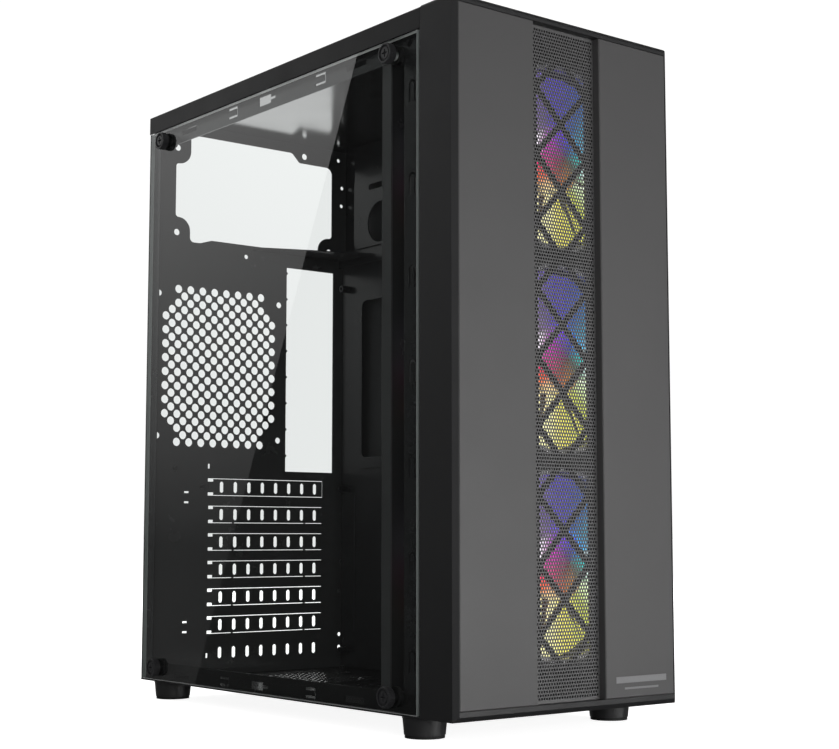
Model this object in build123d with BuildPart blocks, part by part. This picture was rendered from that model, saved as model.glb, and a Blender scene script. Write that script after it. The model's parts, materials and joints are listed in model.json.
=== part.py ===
from build123d import *
import math
import os

# Mid-tower computer case for ATX boards: a steel chassis with a clear left side,
# a moulded front panel and three lit 120 mm fans behind a perforated strip.
# Millimetres. Z is up and zero is the floor. The front faces -Y, the glass side -X.
# X = 0 is the middle of the width, and Y = 0 the middle of the depth.

# ---------------------------------------------------------------- overall sizes
width = 178.0
depth = 352.8
foot_height = 12.5
chassis_height = 410.7
sheet = 0.8
clearance = 0.3

left = -width / 2
right = width / 2
front = -depth / 2
rear = depth / 2
base_bottom = foot_height
base_top = base_bottom + sheet
cover_top = base_bottom + chassis_height
cover_bottom = cover_top - sheet
panel_top = cover_top + 1.1

# ---------------------------------------------------------------- chassis planes
panel_joint = -145.3                    # rear edge of the moulded front panel
chassis_front = panel_joint + 0.3       # front edge of the cover and the base
wall_front = 170.4                      # inner face of the rear wall
wall_back = wall_front + sheet
rail_x = -83.2                          # outer face of the left side frame
rim_x = -85.7                           # outer face of the left rear rim
right_frame_x = 87.0                    # outer face of the right side frame
tray_x = 79.6                           # board side of the motherboard tray
tray_rear = 165.6
post_y = (-110.3, -101.4)               # inner post behind the glass
front_post_back = -122.9                # rear edge of the front post
vent_field_x = (-28.0, 44.0)            # perforated field of the base
vent_field_y = (58.0, 146.0)
fan_plate_front = -143.4
fan_plate_back = fan_plate_front + sheet
rail_bottom = 398.6                     # lower edge of the top left rail
base_flange_top = 25.0
cover_flange_bottom = cover_top - 12.6
clip_x = 76.0                           # snap clips of the front panel
clip_pitch = 150.0
ear_screw_x = 83.4                      # rear screws of the right side panel
right_ears_z = (95.0, 330.0)
rivet_y = 172.9                         # rivets of the left rear rim
rivet_heights = (383, 300, 216, 132, 50)

# ---------------------------------------------------------------- glass side
glass_thickness = 3.0
glass_front = -142.2
glass_rear = rear - 2.0
glass_bottom = base_top + clearance
glass_top = cover_flange_bottom - 0.5
glass_hole_r = 3.5
glass_screws_y = (152.6, -117.6)
glass_screws_z = (22.5, 401.0)

# ---------------------------------------------------------------- front panel
panel_wall = 2.2
panel_bevel = 2.95
rim_left = left + panel_bevel
rim_right = right - panel_bevel - 0.6
rim_bottom = 18.4
rim_top = 419.4
strip_left = -27.6
strip_right = 26.8
backing_front = front + 6.1             # front face of the wall behind the plates
backing_back = backing_front + 1.4
mesh_thickness = 0.6
lattice_half_width = 20.0
lattice_pitch = 40.7
lattice_bar = 3.4
lattice_cells = 9
lattice_height = lattice_cells * lattice_pitch

# ---------------------------------------------------------------- fans
fan_size = 120.0
fan_depth = 25.0
fan_pitch = 3 * lattice_pitch
fan_middle_z = 219.5
fan_hole_spacing = 105.0
fan_hole_r = 2.15
fan_bore_r = 57.0
fan_back = fan_plate_front
fan_front = fan_back - fan_depth
fan_heights = {
    "bottom": fan_middle_z - fan_pitch,
    "middle": fan_middle_z,
    "top": fan_middle_z + fan_pitch,
}
shaft_r = 1.5

# ---------------------------------------------------------------- ATX interfaces
# Power supply: four screws, given from the lower left one.
psu_x = -68.3
psu_z = 339.3
psu_screws = ((0, 0), (138, 0), (0, 64), (114, 74))
psu_screw_r = 2.4
# Corners of its cut-out with their radii: a lobe stays round each screw.
psu_corners = (
    (-57.2, 414.7, 3.5), (-57.2, 391.5, 10.0), (-69.65, 391.5, 2.3), (-69.65, 350.9, 2.3),
    (-57.2, 350.9, 10.0), (-57.2, 333.1, 3.5), (-48.5, 333.1, 6.0), (-38.5, 336.15, 6.0),
    (59.2, 336.15, 2.5), (59.2, 350.2, 10.0), (72.45, 350.2, 3.0), (72.45, 407.65, 5.5),
    (41.2, 407.65, 3.0), (34.1, 414.7, 4.0),
)
shelf_top = psu_z - 6.0
shelf_left = -2.0
# Rear fan vent.
vent_x = -29.8
vent_z = 240.1
# Input and output cut-out for the board's own ports.
io_left = 29.7
io_bottom = 164.0
io_width = 44.45
io_height = 158.75
# Expansion slots, the first one on top.
slot_count = 7
slot_pitch = 20.32
slot_first_z = 150.9
slot_left = -38.3
slot_right = 64.3
slot_half_height = 6.4
slot_gap = 0.45
slot_notch = (4.4, 2.4)                 # width and height of the end notches
# Board screws, from the one nearest the rear at the top.
board_rear_y = 158.3
board_top_z = 308.8
board_columns = (0.0, 154.94, 227.33)
board_rows = (0.0, 157.48, 281.94)


# ---------------------------------------------------------------- helpers
def front_view(y):
    """A sketch plane seen from the front: X to the right, Z up, extruding to -Y."""
    return Plane(origin=(0, y, 0), x_dir=(1, 0, 0), z_dir=(0, -1, 0))


def side_view(x):
    """A sketch plane across the width: Y to the right, Z up, extruding to +X."""
    return Plane(origin=(x, 0, 0), x_dir=(0, 1, 0), z_dir=(1, 0, 0))


def block(x, y, z, mode=Mode.ADD):
    """A box between two values on each axis, in the part being built."""
    centre = ((x[0] + x[1]) / 2, (y[0] + y[1]) / 2, (z[0] + z[1]) / 2)
    with Locations(centre):
        Box(x[1] - x[0], y[1] - y[0], z[1] - z[0], mode=mode)


def patch(x, y, mode=Mode.ADD):
    """A rectangle between two values on each axis, in the sketch being built."""
    with Locations(((x[0] + x[1]) / 2, (y[0] + y[1]) / 2)):
        Rectangle(x[1] - x[0], y[1] - y[0], mode=mode)


def save(part, name):
    part.label = name
    export_step(part, "parts/" + name + ".step")


def slot_height(index):
    return slot_first_z - index * slot_pitch


os.makedirs("parts", exist_ok=True)


# ================================================================ chassis sheets
def vent_points():
    """Centres of the rear vent's staggered holes, with clipped corners."""
    pitch = 10.31
    points = []
    for column in range(10):
        ends = column in (0, 9)
        for row in range(2, 10) if ends else range(12):
            points.append((vent_x + (column - 4.5) * pitch, vent_z + (row - 5.5) * pitch))
    for column in range(9):
        ends = column in (0, 8)
        for row in range(1, 10) if ends else range(11):
            points.append((vent_x + (column - 4) * pitch, vent_z + (row - 5) * pitch))
    return points


def break_off_outline(z):
    """Gaps around one break-off slot cover, with its bridges and end notches."""
    lips = (z - slot_half_height, z + slot_half_height)
    patch((slot_left, slot_right), (lips[1] - slot_gap, lips[1]))
    bridges = (-17.3, 47.3)
    bridge_width = 1.6
    starts = (slot_left, bridges[0] + bridge_width, bridges[1] + bridge_width)
    stops = (bridges[0], bridges[1], slot_right)
    for start, stop in zip(starts, stops):
        patch((start, stop), (lips[0], lips[0] + slot_gap))
    notch_x = (slot_left, slot_left + slot_notch[0])
    patch(notch_x, (lips[1] - slot_notch[1], lips[1]))
    patch(notch_x, (lips[0], lips[0] + slot_notch[1]))


with BuildPart() as rear_wall:
    block(
        (rim_x + sheet, right_frame_x - sheet),
        (wall_front, wall_back),
        (base_top, cover_bottom),
    )
    for height in rivet_heights:
        tab_z = (height - 5, height + 5)
        block((rim_x + sheet, rim_x + 2 * sheet), (wall_back, wall_back + 3.2), tab_z)
    with BuildSketch(side_view(rim_x - 1)):
        with Locations(*[(rivet_y, z) for z in rivet_heights]):
            Circle(0.95)
    extrude(amount=3, mode=Mode.SUBTRACT)
    with BuildSketch(front_view(wall_back + 1)) as psu_cut:
        with BuildLine() as outline:
            Polyline([(x, z) for x, z, radius in psu_corners], close=True)
        make_face()
        for x, z, radius in psu_corners:
            fillet(psu_cut.vertices().sort_by_distance((x, z, 0))[0], radius)
    extrude(amount=3, mode=Mode.SUBTRACT)
    with BuildSketch(front_view(wall_back + 1)) as io_cut:
        patch((io_left, io_left + io_width), (io_bottom, io_bottom + io_height))
        for bump in range(8):
            height = io_bottom + io_height - 4.5 - bump * 20.3
            with Locations((io_left, height)):
                Circle(1.0, mode=Mode.SUBTRACT)
    extrude(amount=3, mode=Mode.SUBTRACT)
    with BuildSketch(front_view(wall_back + 1)) as vent_cut:
        with Locations(*vent_points()):
            Circle(3.05)
        with Locations((vent_x, vent_z)):
            with GridLocations(fan_hole_spacing, fan_hole_spacing, 2, 2):
                Circle(2.3)
    extrude(amount=3, mode=Mode.SUBTRACT)
    with BuildSketch(front_view(wall_back + 1)) as small_holes:
        with Locations(*[(psu_x + x, psu_z + z) for x, z in psu_screws]):
            Circle(psu_screw_r)
        with Locations((78.6, 415.0), (82.3, 392.9), (81.8, 378.3), (81.6, 38.4), (81.4, 28.7)):
            Circle(1.5)
        with Locations((-7.5, psu_z - 12.0)):
            Circle(1.7)
        with Locations(*[(ear_screw_x, z) for z in right_ears_z]):
            Circle(1.68)
        with Locations((-44.3, slot_height(0)), (-67.3, 164.0), (-67.3, 20.5)):
            Circle(1.7)
        for pair in ((146.7, 139.3), (52.1, 44.9)):
            with Locations(*[(-56.9, z) for z in pair]):
                Rectangle(4.0, 1.4)
        with Locations((-38.1, 166.3), (-38.0, 27.2)):
            Rectangle(1.8, 3.4)
    extrude(amount=3, mode=Mode.SUBTRACT)
    with BuildSketch(front_view(wall_back + 1)) as slot_cut:
        patch(
            (slot_left - 0.6, slot_right + 0.6),
            (slot_height(0) - slot_half_height, slot_height(0) + slot_half_height),
        )
        for index in range(1, slot_count - 1):
            break_off_outline(slot_height(index))
        for index in range(1, slot_count):
            with Locations((15.3, slot_height(index))):
                with GridLocations(12.04, 1, 8, 1):
                    SlotOverall(8.3, 3.3, rotation=90)
    extrude(amount=3, mode=Mode.SUBTRACT)
save(rear_wall.part, "rear_wall")

# Corner strips that the rear wall is riveted to.
with BuildPart() as rear_left_rim:
    block((rim_x, rim_x + sheet), (165.6, rear - 0.9), (base_top, cover_bottom))
    block((left + 0.1, rim_x), (rear - 1.7, rear - 0.9), (base_top, cover_flange_bottom - 0.3))
    with BuildSketch(side_view(rim_x - 1)):
        with Locations(*[(rivet_y, z) for z in rivet_heights]):
            Circle(0.95)
    extrude(amount=3, mode=Mode.SUBTRACT)
save(rear_left_rim.part, "rear_left_rim")

with BuildPart() as rear_right_rim:
    block((right_frame_x - sheet, right_frame_x), (157, wall_back), (base_top, cover_bottom))
save(rear_right_rim.part, "rear_right_rim")

with BuildPart() as slot_cover:
    block(
        (slot_left + 0.1, slot_right - 0.1),
        (wall_front, wall_back),
        (slot_first_z - slot_half_height + slot_gap, slot_first_z + slot_half_height - slot_gap),
    )
    block(
        (slot_left - 11, slot_left + slot_notch[0]),
        (wall_back, wall_back + sheet),
        (slot_first_z - 4.0, slot_first_z + 4.0),
    )
    for z in (slot_first_z - 5.2, slot_first_z + 5.2):
        notch_x = (slot_left - 1, slot_left + slot_notch[0])
        block(notch_x, (wall_front - 1, wall_back), (z - 1.2, z + 1.2), mode=Mode.SUBTRACT)
    with BuildSketch(front_view(wall_back + 2)):
        with Locations((15.3, slot_first_z)):
            with GridLocations(12.04, 1, 8, 1):
                SlotOverall(8.3, 3.3, rotation=90)
        with Locations((-44.3, slot_first_z)):
            Circle(1.7)
    extrude(amount=4, mode=Mode.SUBTRACT)
save(slot_cover.part, "slot_cover_top")

# Guard plate outside the wall, over the ends of the card brackets.
guard_bottom = 14.6
guard_top = 171.0
with BuildPart() as slot_guard:
    block((-72.3, -61.5), (wall_back, wall_back + sheet), (guard_bottom, guard_top))
    block((-62.3, -61.5), (wall_back, rear - 0.6), (guard_bottom, guard_top))
    block((-62.3, -39.5), (rear - 1.4, rear - 0.6), (guard_bottom, guard_top))
    with BuildSketch(front_view(wall_back + 2)):
        with Locations((-67.3, 164.0), (-67.3, 20.5)):
            Circle(1.7)
    extrude(amount=4, mode=Mode.SUBTRACT)
    for height in (143.0, 48.5):
        block((-58.5, -48.0), (rear - 3, rear), (height - 8, height + 8), mode=Mode.SUBTRACT)
save(slot_guard.part, "slot_guard")


def pan_head_screw(plane, head_r, head_height, shank_r, shank_length):
    """Pan head screw whose head rests on the plane and whose shank goes through it."""
    with BuildSketch(plane) as head:
        Circle(head_r)
    extrude(head.sketch, amount=head_height)
    with BuildSketch(plane) as shank:
        Circle(shank_r)
    extrude(shank.sketch, amount=-shank_length)
    with BuildSketch(plane.offset(head_height)) as recess:
        Rectangle(head_r * 1.1, head_r * 0.28)
        Rectangle(head_r * 0.28, head_r * 1.1)
    extrude(recess.sketch, amount=-head_height * 0.5, mode=Mode.SUBTRACT)


def rear_facing(x, y, z):
    return Plane(origin=(x, y, z), x_dir=(1, 0, 0), z_dir=(0, 1, 0))



def rail_slots(middle_z, height, hooks, key):
    """Clip slots of a side rail: two hooked ones, a key-shaped one and two plain ones."""
    for y in hooks:
        with Locations((y, middle_z)):
            Rectangle(11.8, height)
            Rectangle(11.8 - 2 * 1.6, height - 2 * 1.6, mode=Mode.SUBTRACT)
            with Locations((5.9 - 0.8, 0)):
                Rectangle(1.8, height - 2 * 1.6, mode=Mode.SUBTRACT)
    patch((key, key + 14.8), (middle_z - height / 2 + 0.6, middle_z + height / 2 - 0.6))
    patch((key - 5.4, key + 0.1), (middle_z - 0.9, middle_z + 0.9))
    patch((119.0, 138.7), (middle_z - 2.2, middle_z + 1.4))
    patch((-84.9, -65.0), (middle_z - 2.2, middle_z + 1.4))
    with Locations((-127.9, middle_z + 0.8)):
        Circle(2.4)


with BuildPart() as base_plate:
    block((left + 0.2, right_frame_x), (chassis_front, rear - 0.4), (base_bottom, base_top))
    for x in (rail_x, right_frame_x - sheet):
        block((x, x + sheet), (-142, 156.6), (base_top, base_flange_top))
    with BuildSketch(side_view(rail_x - 1)):
        rail_slots(17.8, 6.4, (72.3, -28.6), 24.6)
        for y in glass_screws_y:
            with Locations((y, glass_screws_z[0])):
                Circle(1.9)
    extrude(amount=3, mode=Mode.SUBTRACT)
    with BuildSketch(Plane.XY.offset(base_bottom - 1)) as base_holes:
        patch(vent_field_x, vent_field_y)
        corner = (vent_field_x[1], vent_field_y[0], 0)
        chamfer(base_holes.vertices().sort_by_distance(corner)[0], 26)
        for y in (155.7, -131.1):
            with Locations((-74.2, y), (74.2, y)):
                Circle(2.1)
    extrude(amount=3, mode=Mode.SUBTRACT)
save(base_plate.part, "base_plate")

with BuildPart() as base_grille:
    grille_x = (vent_field_x[0] - 4, vent_field_x[1] + 4)
    grille_y = (vent_field_y[0] - 4, vent_field_y[1] + 4)
    block(grille_x, grille_y, (base_top, base_top + 0.4))
    with BuildSketch(Plane.XY.offset(base_top - 1)):
        middle = (sum(vent_field_x) / 2, sum(vent_field_y) / 2)
        with Locations(middle):
            with GridLocations(4.8, 15.6, 14, 6):
                SlotOverall(6.6, 3.5, rotation=90)
            with GridLocations(4.8, 15.6, 13, 5):
                SlotOverall(6.6, 3.5, rotation=90)
    extrude(amount=3, mode=Mode.SUBTRACT)
save(base_grille.part, "base_grille")

with BuildPart() as top_left_rail:
    block((rail_x, rail_x + sheet), (-142, 156.6), (rail_bottom, cover_bottom))
    block((rail_x, rail_x + 12), (-142, 156.6), (cover_bottom - sheet, cover_bottom))
    with BuildSketch(side_view(rail_x - 1)):
        rail_slots(405.9, 7.4, (69.8, -35.4), 22.0)
        for y in glass_screws_y:
            with Locations((y, glass_screws_z[1])):
                Circle(1.9)
    extrude(amount=3, mode=Mode.SUBTRACT)
save(top_left_rail.part, "top_left_rail")

with BuildPart() as top_right_rail:
    block((right_frame_x - sheet, right_frame_x), (-142, 156.6), (rail_bottom, cover_bottom))
    block((tray_x + 1.2, right_frame_x), (-142, 156.6), (cover_bottom - sheet, cover_bottom))
save(top_right_rail.part, "top_right_rail")

arch_pitch = 55.7
arch_first = 49.8                       # top of the lowest stamped clip
with BuildPart() as front_left_post:
    block((rail_x, rail_x + sheet), (-144.8, front_post_back), (base_flange_top + 0.2, rail_bottom - 0.2))
    block((left + 0.4, rail_x), (-144.8, -144.0), (base_top + 0.2, cover_flange_bottom - 0.4))
    with BuildSketch(side_view(rail_x - 1)):
        for index in range(7):
            with Locations((-130.5, arch_first + index * arch_pitch - 13)):
                SlotOverall(26.0, 6.4, rotation=90)
                SlotOverall(23.0, 3.4, rotation=90, mode=Mode.SUBTRACT)
                with Locations((0, -6.9)):
                    Rectangle(8, 13.0, mode=Mode.SUBTRACT)
    extrude(amount=3, mode=Mode.SUBTRACT)
save(front_left_post.part, "front_left_post")

with BuildPart() as inner_left_post:
    block((rail_x, rail_x + sheet), post_y, (base_flange_top + 0.2, rail_bottom - 0.2))
    for y in (post_y[0], post_y[1] - sheet):
        block((rail_x, -72), (y, y + sheet), (base_flange_top + 0.2, rail_bottom - 0.2))
save(inner_left_post.part, "inner_left_post")

with BuildPart() as fan_plate:
    plate_x = (rail_x + sheet, right_frame_x)
    block(plate_x, (fan_plate_front, fan_plate_back), (base_top, cover_bottom))
    with BuildSketch(front_view(fan_plate_back + 1)):
        for height in fan_heights.values():
            with Locations((0, height)):
                Circle(fan_bore_r)
                with GridLocations(fan_hole_spacing, fan_hole_spacing, 2, 2):
                    Circle(2.3)
        with GridLocations(2 * clip_x, clip_pitch, 2, 3):
            with Locations((0, fan_middle_z)):
                Rectangle(6.0, 12.0)
    extrude(amount=3, mode=Mode.SUBTRACT)
save(fan_plate.part, "fan_plate")

with BuildPart() as tray:
    block((tray_x, tray_x + sheet), (-142.1, tray_rear), (base_top + sheet, cover_bottom - sheet))
    with BuildSketch(side_view(tray_x)) as raised_frame:
        patch((8.0, 146.7), (166.5, 305.5))
        fillet(raised_frame.vertices(), 9)
    extrude(amount=-1.6)
    with BuildSketch(side_view(tray_x)) as raised_panel:
        patch((30.0, 148.0), (339.0, 395.0))
        fillet(raised_panel.vertices(), 4)
    extrude(amount=-1.6)
    with BuildSketch(side_view(tray_x + sheet)) as frame_hollow:
        patch((11.0, 143.7), (169.5, 302.5))
        fillet(frame_hollow.vertices(), 7)
        patch((33.0, 145.0), (342.0, 392.0))
    extrude(amount=-1.6, mode=Mode.SUBTRACT)
    with BuildSketch(side_view(tray_x - 3)) as processor_window:
        patch((18.0, 137.2), (175.0, 297.0))
        fillet(processor_window.vertices(), 5)
    extrude(amount=6, mode=Mode.SUBTRACT)
    with BuildSketch(side_view(tray_x - 3)) as cable_holes:
        with Locations((114.0, 357.0), (64.0, 357.0)):
            Circle(16.0)
        with Locations((112.0, 386.0), (66.0, 386.0)):
            SlotOverall(34.0, 4.5)
        for z in (190.0, 115.0):
            with Locations((-98.0, z)):
                SlotOverall(60.0, 22.0, rotation=90)
        for column in board_columns:
            for row in board_rows:
                with Locations((board_rear_y - column, board_top_z - row)):
                    Circle(1.9)
    extrude(amount=6, mode=Mode.SUBTRACT)
    block((tray_x - 2, tray_x + 2), (149.5, tray_rear + 1), (340.0, cover_top), mode=Mode.SUBTRACT)
    block((tray_x - 0.9, tray_x), (147.6, 149.0), (42.0, 146.0))
save(tray.part, "motherboard_tray")

with BuildPart() as standoffs:
    with BuildSketch(side_view(tray_x)):
        for column in board_columns:
            for row in board_rows:
                with Locations((board_rear_y - column, board_top_z - row)):
                    RegularPolygon(2.9, 6)
    extrude(amount=-6.4)
    with BuildSketch(side_view(tray_x)):
        for column in board_columns:
            for row in board_rows:
                with Locations((board_rear_y - column, board_top_z - row)):
                    Circle(1.45)
    extrude(amount=-6.4, mode=Mode.SUBTRACT)
save(standoffs.part, "motherboard_standoffs")

with BuildPart() as psu_shelf:
    with BuildSketch(Plane.XY.offset(shelf_top - sheet)):
        with BuildLine():
            Polyline(
                (shelf_left, wall_front), (shelf_left, 157.0), (tray_x, 124.5),
                (tray_x, wall_front), close=True,
            )
        make_face()
    extrude(amount=sheet)
    block((tray_x - sheet, tray_x), (40.0, wall_front), (shelf_top - 6.6, shelf_top))
    block((tray_x - 2 * sheet, tray_x - sheet), (40.0, 166.0), (shelf_top - 6.3, shelf_top - 2.7))
    block((shelf_left, tray_x), (wall_front - sheet, wall_front), (shelf_top - 8, shelf_top))
    bead_z = (shelf_top - sheet - 0.7, shelf_top - sheet)
    block((20.0, tray_x - 5.0), (162.0, 164.5), bead_z)
    block((tray_x - 7.5, tray_x - 5.0), (134.0, 164.5), bead_z)
save(psu_shelf.part, "psu_shelf")

# Bracket for one 3.5 inch drive, standing on its end against the tray.
drive_width = 101.6
drive_length = 147.0
drive_height = 26.1
drive_rear_y = -34.0
drive_bottom_z = 226.0
with BuildPart() as drive_bracket:
    drive_y = (drive_rear_y - drive_width - 0.8, drive_rear_y)
    drive_z = (drive_bottom_z, drive_bottom_z + drive_length)
    web_x = (tray_x - sheet, tray_x)
    block(web_x, (drive_y[0] - sheet, drive_y[1] + sheet), drive_z)
    for y in (drive_y[0] - sheet, drive_y[1]):
        block((tray_x - drive_height - 4, tray_x), (y, y + sheet), drive_z)
    with BuildSketch(front_view(drive_y[1] + 3)):
        with Locations((tray_x - 8.0, drive_bottom_z + drive_length / 2)):
            with GridLocations(1, 101.6, 1, 2):
                Circle(1.8)
    extrude(amount=drive_width + 8, mode=Mode.SUBTRACT)
    with BuildSketch(side_view(tray_x - 3)):
        with Locations((drive_rear_y - drive_width / 2, drive_bottom_z + drive_length / 2)):
            SlotOverall(110.0, 60.0, rotation=90)
    extrude(amount=6, mode=Mode.SUBTRACT)
save(drive_bracket.part, "drive_bracket")

with BuildPart() as top_cover:
    block((left, right), (chassis_front, rear), (cover_bottom, cover_top))
    for x in (left, right - sheet):
        block((x, x + sheet), (chassis_front, rear), (cover_flange_bottom, cover_top))
    block((left, right), (rear - sheet, rear), (cover_top - 5.0, cover_top))
    fillet(top_cover.edges().filter_by(Axis.Y).group_by(Axis.Z)[-1], 0.6)
save(top_cover.part, "top_cover")

# Screws of the slot cover and the guard, and the flush rivets of the left rear rim.
with BuildPart() as fasteners:
    pan_head_screw(rear_facing(-44.3, wall_back + sheet, slot_first_z), 3.0, 2.0, 1.6, 5.0)
    for height in (164.0, 20.5):
        pan_head_screw(rear_facing(-67.3, wall_back + sheet, height), 3.0, 2.0, 1.6, 5.0)
    for height in rivet_heights:
        with BuildSketch(side_view(rim_x)) as shank:
            with Locations((rivet_y, height)):
                Circle(0.95)
        extrude(shank.sketch, amount=2 * sheet)
        with BuildSketch(side_view(rim_x + 2 * sheet)) as tail:
            with Locations((rivet_y, height)):
                Circle(1.5)
        extrude(tail.sketch, amount=0.7)
save(fasteners.part, "chassis_fasteners")

# ================================================================ feet
foot_places = {
    "front_left": (-74.2, -131.1),
    "front_right": (74.2, -131.1),
    "rear_left": (-74.2, 155.7),
    "rear_right": (74.2, 155.7),
}
pad_height = 1.8
for place, (x, y) in foot_places.items():
    with BuildPart() as foot:
        with BuildSketch(Plane(origin=(x, y, 0), x_dir=(1, 0, 0), z_dir=(0, -1, 0))):
            with BuildLine():
                Polyline(
                    (2.1, base_bottom), (13.2, base_bottom), (13.2, base_bottom - 1.2),
                    (12.9, base_bottom - 1.6), (12.0, pad_height), (9.6, pad_height),
                    (8.4, 5.5), (2.1, 5.5), close=True,
                )
            make_face()
        revolve(axis=Axis((x, y, 0), (0, 0, 1)))
    save(foot.part, "foot_" + place)

with BuildPart() as foot_pads:
    with BuildSketch(Plane.XY):
        with Locations(*foot_places.values()):
            Circle(11.6)
            Circle(9.6, mode=Mode.SUBTRACT)
    extrude(amount=pad_height)
save(foot_pads.part, "foot_pads")

with BuildPart() as foot_screws:
    for x, y in foot_places.values():
        seat = Plane(origin=(x, y, 5.5), x_dir=(1, 0, 0), z_dir=(0, 0, -1))
        pan_head_screw(seat, 3.8, 2.6, 2.0, 10.0)
save(foot_screws.part, "foot_screws")

# ================================================================ glass side
with BuildPart() as glass:
    block((left, left + glass_thickness), (glass_front, glass_rear), (glass_bottom, glass_top))
    chamfer(glass.edges().filter_by(Axis.Y), 0.3)
    chamfer(glass.edges().filter_by(Axis.Z), 0.3)
    with BuildSketch(side_view(left - 1)):
        for y in glass_screws_y:
            for z in glass_screws_z:
                with Locations((y, z)):
                    Circle(glass_hole_r)
    extrude(amount=glass_thickness + 2, mode=Mode.SUBTRACT)
save(glass.part, "glass_panel")

grommet_outer_x = left - 0.5
thumb_seat_x = grommet_outer_x - clearance
grommet_inner_x = rail_x - clearance
grommet_outer_r = 5.2
grommet_inner_r = 5.9
with BuildPart() as grommets:
    for y in glass_screws_y:
        for z in glass_screws_z:
            with BuildSketch(side_view(grommet_outer_x)):
                with Locations((y, z)):
                    Circle(grommet_outer_r)
            extrude(amount=left - grommet_outer_x)
            with BuildSketch(side_view(left)):
                with Locations((y, z)):
                    Circle(glass_hole_r)
            extrude(amount=glass_thickness)
            with BuildSketch(side_view(left + glass_thickness)):
                with Locations((y, z)):
                    Circle(grommet_inner_r)
            extrude(amount=grommet_inner_x - left - glass_thickness)
            with BuildSketch(side_view(grommet_outer_x)):
                with Locations((y, z)):
                    Circle(1.7)
            extrude(amount=12, mode=Mode.SUBTRACT)
save(grommets.part, "glass_grommets")

with BuildPart() as clinch_nuts:
    with BuildSketch(side_view(rail_x + sheet)):
        for y in glass_screws_y:
            for z in glass_screws_z:
                with Locations((y, z)):
                    Circle(3.2)
                    Circle(1.68, mode=Mode.SUBTRACT)
    extrude(amount=2.0)
save(clinch_nuts.part, "glass_clinch_nuts")


def thumb_screw(seat, head_r, head_height, shank_r, shank_length):
    """Knurled thumb screw on a seat plane: the head rises from it, the shank goes in.

    The face has a raised ring, a groove and a boss with a cross recess."""
    boss_r = head_r * 0.58
    with BuildSketch(seat) as core:
        Circle(head_r - 0.4)
    extrude(core.sketch, amount=head_height)
    with BuildSketch(seat.offset(0.5)) as grip:
        Circle(head_r)
        with PolarLocations(head_r + 0.12, 36):
            Circle(0.34, mode=Mode.SUBTRACT)
    extrude(grip.sketch, amount=head_height - 1.1)
    with BuildSketch(seat.offset(head_height)) as groove:
        Circle(head_r - 1.2)
        Circle(boss_r, mode=Mode.SUBTRACT)
    extrude(groove.sketch, amount=-1.3, mode=Mode.SUBTRACT)
    with BuildSketch(seat.offset(head_height)) as boss_top:
        Circle(boss_r)
    extrude(boss_top.sketch, amount=-0.4, mode=Mode.SUBTRACT)
    with BuildSketch(seat.offset(head_height)) as recess:
        Rectangle(boss_r * 1.35, boss_r * 0.3)
        Rectangle(boss_r * 0.3, boss_r * 1.35)
    extrude(recess.sketch, amount=-2.2, mode=Mode.SUBTRACT)
    with BuildSketch(seat) as shank:
        Circle(shank_r)
    extrude(shank.sketch, amount=-shank_length)


head_height = 4.7
side_names = {glass_screws_y[0]: "rear", glass_screws_y[1]: "front"}
level_names = {glass_screws_z[0]: "bottom", glass_screws_z[1]: "top"}
for y, side in side_names.items():
    for z, level in level_names.items():
        seat = Plane(origin=(thumb_seat_x, y, z), x_dir=(0, 1, 0), z_dir=(-1, 0, 0))
        with BuildPart() as screw:
            thumb_screw(seat, 6.2, head_height, 1.62, 9.2)
        save(screw.part, "thumb_screw_" + side + "_" + level)

# ================================================================ right side
right_panel_top = glass_top
ear_front = wall_back + clearance
with BuildPart() as right_panel:
    panel_z = (base_bottom + 0.4, right_panel_top)
    block((right - sheet, right), (-144.9, rear - 0.4), panel_z)
    for z in (panel_z[0] + 1.2, panel_z[1] - sheet):
        block((right - 1.4, right), (-140, 168), (z, z + sheet))
    block((right - 1.4, right), (-144.9, -144.1), panel_z)
    for z in right_ears_z:
        block((77, right), (ear_front, ear_front + sheet), (z - 12, z + 12))
    with BuildSketch(front_view(ear_front + 1)):
        with Locations(*[(ear_screw_x, z) for z in right_ears_z]):
            Circle(1.9)
    extrude(amount=2, mode=Mode.SUBTRACT)
    fillet(right_panel.edges().filter_by(Axis.Z).group_by(Axis.X)[-1], 0.5)
save(right_panel.part, "right_side_panel")

for z, level in zip(right_ears_z, ("bottom", "top")):
    with BuildPart() as screw:
        thumb_screw(rear_facing(ear_screw_x, ear_front + sheet + clearance, z), 4.4, 3.4, 1.6, 6.0)
    save(screw.part, "panel_screw_" + level)

# ================================================================ fans
for place, height in fan_heights.items():
    face = front_view(fan_back)
    with BuildPart() as frame:
        for start in (fan_back, fan_front + 4.0):
            with BuildSketch(front_view(start)) as flange:
                with Locations((0, height)):
                    RectangleRounded(fan_size, fan_size, 6)
            extrude(amount=4.0)
        with BuildSketch(face):
            with Locations((0, height)):
                Circle(fan_bore_r + 1.8)
                with GridLocations(fan_hole_spacing, fan_hole_spacing, 2, 2):
                    Circle(4.2)
        extrude(amount=fan_depth)
        with BuildSketch(face):
            with Locations((0, height)):
                Circle(fan_bore_r)
                with GridLocations(fan_hole_spacing, fan_hole_spacing, 2, 2):
                    Circle(fan_hole_r)
        extrude(amount=fan_depth, mode=Mode.SUBTRACT)
        with BuildSketch(face):
            with Locations((0, height)):
                Circle(21.0)
                for angle in (20, 110, 200, 290):
                    direction = math.radians(angle)
                    reach = (fan_bore_r + 1.0) / 2
                    arm = (reach * math.cos(direction), reach * math.sin(direction))
                    with Locations(arm):
                        Rectangle(2 * reach, 5.0, rotation=angle)
        extrude(amount=3.0)
        with BuildSketch(face):
            with Locations((0, height)):
                Circle(shaft_r + 0.05)
        extrude(amount=3.0, mode=Mode.SUBTRACT)
    save(frame.part, "fan_frame_" + place)

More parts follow.
